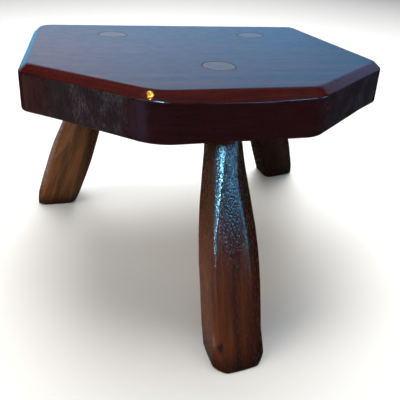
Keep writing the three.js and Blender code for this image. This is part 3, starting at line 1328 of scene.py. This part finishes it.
@dataclass
class Studio:
    """The floor, the cool backdrop that the varnish mirrors, the lamps and the world. Metres.

    The backdrop's colours run from its left end to its right one. Its foot has its own, which
    fade out between foot_heights, and its glow grows between glow_heights.
    """

    floor_size: float = 8.0
    floor_colour: str = "#f2f2f0"
    wall_radius: float = 4.6
    wall_height: float = 6.0
    backdrop_radius: float = 1.6
    backdrop_height: float = 1.7
    backdrop_arc: Span = (-45.0, 78.0)
    backdrop_colours: Stops = (
        (0.0, "#74b4dc"),
        (0.2, "#b4ccea"),
        (0.42, "#98c8f0"),
        (0.88, "#4fa8dc"),
        (1.0, "#4487b4"),
    )
    foot_colours: Stops = ((0.0, "#56acd8"), (0.76, "#4798c8"), (0.92, "#141c26"))
    foot_share: float = 0.85
    foot_heights: Span = (0.2, 0.66)
    glow: Span = (1.3, 1.5)
    glow_heights: Span = (0.45, 0.8)
    ambient_colour: str = "#e4e9f0"
    room_colour: str = "#3a3634"
    ambient: float = 0.34

    def floor(self) -> bpy.types.Object:
        """Lay the pale floor, which keeps the stool's shadow.

        Returns:
            The floor.
        """
        bm = bmesh.new()
        bmesh.ops.create_grid(bm, x_segments=1, y_segments=1, size=self.floor_size / MM)
        floor = to_piece(bm, "floor")
        # matt painted board: pale and even, and it mirrors nothing
        material, tree = new_material("pale_matt_board")
        matt = {"Base Color": linear(self.floor_colour), "Roughness": 0.9, "Specular IOR Level": 0.0}
        add_node(tree, "OutputMaterial", {"Surface": add_node(tree, "BsdfPrincipled", matt)})
        floor.data.materials.append(material)
        floor.visible_glossy = False
        return floor

    @staticmethod
    def screen(
        name: str,
        radius: float,
        height: float,
        arc: Span,
        steps: int,
    ) -> bpy.types.Object:
        """Stand a curved screen round the stool.

        Args:
            name: the object's name.
            radius: how far it is from the stool.
            height: its height.
            arc: its left and right ends, in degrees to the right of straight behind.
            steps: how many faces it has.

        Returns:
            The screen.
        """
        bm = bmesh.new()
        foot = bm.verts.new((radius / MM, 0, 0))
        head = bm.verts.new((radius / MM, 0, height / MM))
        line = bm.edges.new((foot, head))
        left, right = (math.radians(90 - side) for side in arc)
        bmesh.ops.rotate(bm, verts=bm.verts, matrix=Matrix.Rotation(right, 3, "Z"))
        closed = arc[1] - arc[0] == 360
        bmesh.ops.spin(
            bm,
            geom=[foot, head, line],
            axis=(0, 0, 1),
            angle=left - right,
            steps=steps,
            use_merge=closed,
        )
        if closed:
            bmesh.ops.recalc_face_normals(bm, faces=bm.faces)
        return to_piece(bm, name)

    def backdrop(self) -> bpy.types.Object:
        """Stand a cool glowing backdrop behind the stool, which only its varnish mirrors.

        Returns:
            The backdrop.
        """
        radius = self.backdrop_radius
        backdrop = self.screen("backdrop", radius, self.backdrop_height, self.backdrop_arc, 40)
        # woven cloth lit from behind: an even cool glow, dark low down at the right
        material, tree = new_material("cool_diffuser_cloth")
        place = add_node(tree, "TexCoord", output="Object")
        side = add_node(tree, "SeparateXYZ", {0: place})
        height = add_node(tree, "SeparateXYZ", {0: place}, output=2)
        along = add_node(tree, "MapRange", {0: side, 1: -radius * 0.7, 2: radius}, **SMOOTH)
        upper = add_node(tree, "ValToRGB", {"Fac": along}, stops=self.backdrop_colours)
        foot = add_node(tree, "ValToRGB", {"Fac": along}, stops=self.foot_colours)
        low, high = self.foot_heights
        fading = {0: height, 1: low, 2: high, 3: self.foot_share, 4: 0.0}
        at_foot = add_node(tree, "MapRange", fading, **SMOOTH)
        low, high = self.glow_heights
        rising = {0: height, 1: low, 2: high, 3: self.glow[0], 4: self.glow[1]}
        glow = {
            "Color": add_node(tree, "Mix", {0: at_foot, 6: upper, 7: foot}, **COLOUR),
            "Strength": add_node(tree, "MapRange", rising, **SMOOTH),
        }
        add_node(tree, "OutputMaterial", {"Surface": add_node(tree, "Emission", glow)})
        backdrop.data.materials.append(material)
        backdrop.visible_camera = False
        backdrop.visible_diffuse = False
        backdrop.visible_shadow = False
        return backdrop

    def wall(self) -> bpy.types.Object:
        """Close the studio with a pale wall, which only the camera sees.

        Returns:
            The wall.
        """
        wall = self.screen("wall", self.wall_radius, self.wall_height, (-180.0, 180.0), 64)
        # paper lit from behind: the same white everywhere, so that no edge shows at the floor
        material, tree = new_material("pale_backlit_paper")
        glow = {"Color": linear(self.floor_colour), "Strength": 1.0}
        add_node(tree, "OutputMaterial", {"Surface": add_node(tree, "Emission", glow)})
        wall.data.materials.append(material)
        wall.visible_diffuse = False
        wall.visible_glossy = False
        wall.visible_shadow = False
        return wall

    def world(self) -> None:
        """Give soft light from above, and a dim room below for the varnish to mirror."""
        world = bpy.data.worlds.new("studio")
        bpy.context.scene.world = world
        world.use_nodes = True
        tree = world.node_tree
        tree.nodes.clear()
        aim = add_node(tree, "TexCoord", output="Generated")
        up = add_node(tree, "SeparateXYZ", {0: aim}, output=2)
        raised = add_node(tree, "MapRange", {0: up, 1: 0.5, 2: 0.95}, **SMOOTH)
        tones = ((0.0, self.room_colour), (1.0, self.ambient_colour))
        room = add_node(tree, "ValToRGB", {"Fac": raised}, stops=tones)
        soft = add_node(tree, "Background", {"Color": room, "Strength": self.ambient})
        add_node(tree, "OutputWorld", {"Surface": soft})

    def lamps(self) -> list[bpy.types.Object]:
        """Hang the softboxes.

        Returns:
            The lamps.
        """
        fill, glint = Reach.FILL, Reach.GLINT
        boxes = [
            Softbox("overhead", (0.2, 0.7, 2.4), 2.0, 2.0, 77.0, "#ffffff", fill),
            Softbox("back_wash", (1.3, 3.6, 2.6), 2.0, 2.0, 44.0, "#ffffff", fill),
            Softbox("left_key", (-1.3, -0.3, 0.7), 1.0, 0.5, 13.5, "#fff6ea", fill),
            Softbox("right_fill", (1.2, -1.0, 0.15), 0.8, 0.25, 6.0, "#fff0e8", fill),
            Softbox("window", (-0.58, -1.3, 0.96), 0.3, 0.36, 98.0, "#78ccf4", glint),
            Softbox("left_sky", (-1.15, -0.65, 0.75), 0.4, 0.4, 5.0, "#8cbcdc", glint),
            Softbox("sky", (0.72, -1.1, 0.76), 0.5, 0.16, 12.5, "#60b8f0", glint),
            Softbox("right_window", (1.38, -0.6, 0.34), 0.5, 0.36, 10.0, "#60b8f0", glint),
            Softbox("floor_light", (-0.6, -0.36, 0.01), 0.25, 0.25, 0.15, "#a0c8ff", glint),
            Softbox("left_floor", (-0.62, -0.01, 0.01), 0.12, 0.3, 0.08, "#dcc8b0", glint),
            Softbox("floor_bounce", (-0.16, -0.02, 0.005), 0.22, 0.3, 0.04, "#e8e4dc", glint),
            Softbox("back_floor", (-0.27, 0.42, 0.01), 0.25, 0.2, 0.05, "#c8ccd8", glint),
            Softbox("warm_lamp", (-0.607, -0.11, 1.62), 0.025, 0.025, 6.5, "#ffc050", glint),
        ]
        return [box.build() for box in boxes]

    def build(self) -> None:
        """Set up the whole studio."""
        self.floor()
        self.backdrop()
        self.wall()
        self.world()
        self.lamps()


def leg_designs(seat: SeatBoard) -> list[CarvedLeg]:
    """Describe the three legs, which were carved by hand and so all differ.

    Args:
        seat: the seat, whose place sets the tenons' places.

    Returns:
        The legs.
    """
    back_spacing = 156.0
    back_set_in = 67.5
    front_set_in = 72.5
    front = seat.place + Vector((0, -seat.depth / 2 + front_set_in, 0))
    back_left = seat.place + Vector((-back_spacing / 2, seat.depth / 2 - back_set_in, 0))
    back_right = seat.place + Vector((back_spacing / 2, seat.depth / 2 - back_set_in, 0))
    return [
        CarvedLeg(
            "front_leg",
            splay=25.4,
            heading=-89.8,
            turn=5,
            width=51,
            depth=39.5,
            belly_height=61,
            bow=2,
            edge_radius=3.2,
            corners={
                Corner.BACK_RIGHT: CornerBevel(4, 110),
                Corner.BACK_LEFT: CornerBevel(3.5, 120),
                Corner.FRONT_LEFT: CornerBevel(2.6, 108, sole=9, worn_height=34),
                Corner.FRONT_RIGHT: CornerBevel(16, 140, sole=11, neck_share=0.9),
            },
            tenon_place=front,
        ),
        CarvedLeg(
            "back_left_leg",
            splay=24.8,
            heading=147.1,
            turn=-1.4,
            width=46.7,
            depth=46.3,
            belly_height=62,
            bow=-0.3,
            corners={
                Corner.BACK_RIGHT: CornerBevel(3, 84),
                Corner.BACK_LEFT: CornerBevel(3, 84),
                Corner.FRONT_LEFT: CornerBevel(2.5, 78, 105, sole=6),
                Corner.FRONT_RIGHT: CornerBevel(3.7, 45, 133, sole=7),
            },
            tenon_place=back_left,
        ),
        CarvedLeg(
            "back_right_leg",
            splay=30.2,
            heading=42.1,
            turn=12,
            width=47.2,
            depth=41.5,
            belly_height=54,
            bow=0.4,
            corners={
                Corner.BACK_RIGHT: CornerBevel(3, 85),
                Corner.BACK_LEFT: CornerBevel(5, 85),
                Corner.FRONT_LEFT: CornerBevel(2.5, 85),
                Corner.FRONT_RIGHT: CornerBevel(2, 85, sole=6),
            },
            tenon_place=back_right,
        ),
    ]


def leg_finishes() -> list[SatinVarnishedWalnut]:
    """Describe each leg's finish, as the three billets differ in tone. The back right leg's darkness is
    partly painted shade.

    Returns:
        The finishes, in the order of the legs.
    """
    knot = Mark((-20.0, -19.0, 15.0), (3.4, 3.4, 6.5), "#1b1016")
    chip = Mark((-24.5, -15.5, 20.0), (3.5, 3.0, 9.0), "#6f5349")
    return [
        SatinVarnishedWalnut(
            dark="#3a1a10",
            middle="#502a16",
            light="#69391f",
            lean=0.01,
            neck_painted_shade=0.7,
            smooth=0.14,
            dull=0.34,
            grit_depth=0.45,
            marks=(knot, chip),
        ),
        SatinVarnishedWalnut(
            dark="#422915",
            middle="#5d3c22",
            light="#7d4d28",
            lean=0.01,
            neck_painted_shade=0.5,
        ),
        # the back right leg's browns are darker wood and partly painted shade
        SatinVarnishedWalnut(dark="#1a100c", middle="#241711", light="#302018"),
    ]


def seat_place() -> Vector:
    """Find the middle of the seat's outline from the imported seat's box.

    Returns:
        The middle at height 0, in millimetres.
    """
    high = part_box("seat_board")[1]
    plain = SeatBoard()
    return Vector((high.x / MM - plain.width / 2, high.y / MM - plain.depth / 2, 0))


def main() -> None:
    """Build the stool's pieces, dress them and set up the studio."""
    logging.basicConfig(level=logging.INFO, format="%(name)s: %(message)s")
    StudioCamera().build()
    Studio().build()
    seat = SeatBoard(place=seat_place())
    legs = leg_designs(seat)
    plank = seat.build(legs)
    wear(plank, GlossVarnishedMahogany().material(), "seat_wood", "seat_board")
    log.info("seat_plank: %d faces", len(plank.data.polygons))
    for leg, walnut in zip(legs, leg_finishes()):
        piece = leg.build()
        wear(piece, walnut.material(leg), "leg_wood", leg.name)
        log.info("%s: %d faces", piece.name, len(piece.data.polygons))
    bpy.context.scene.view_settings.view_transform = "Standard"


if __name__ == "__main__":
    main()
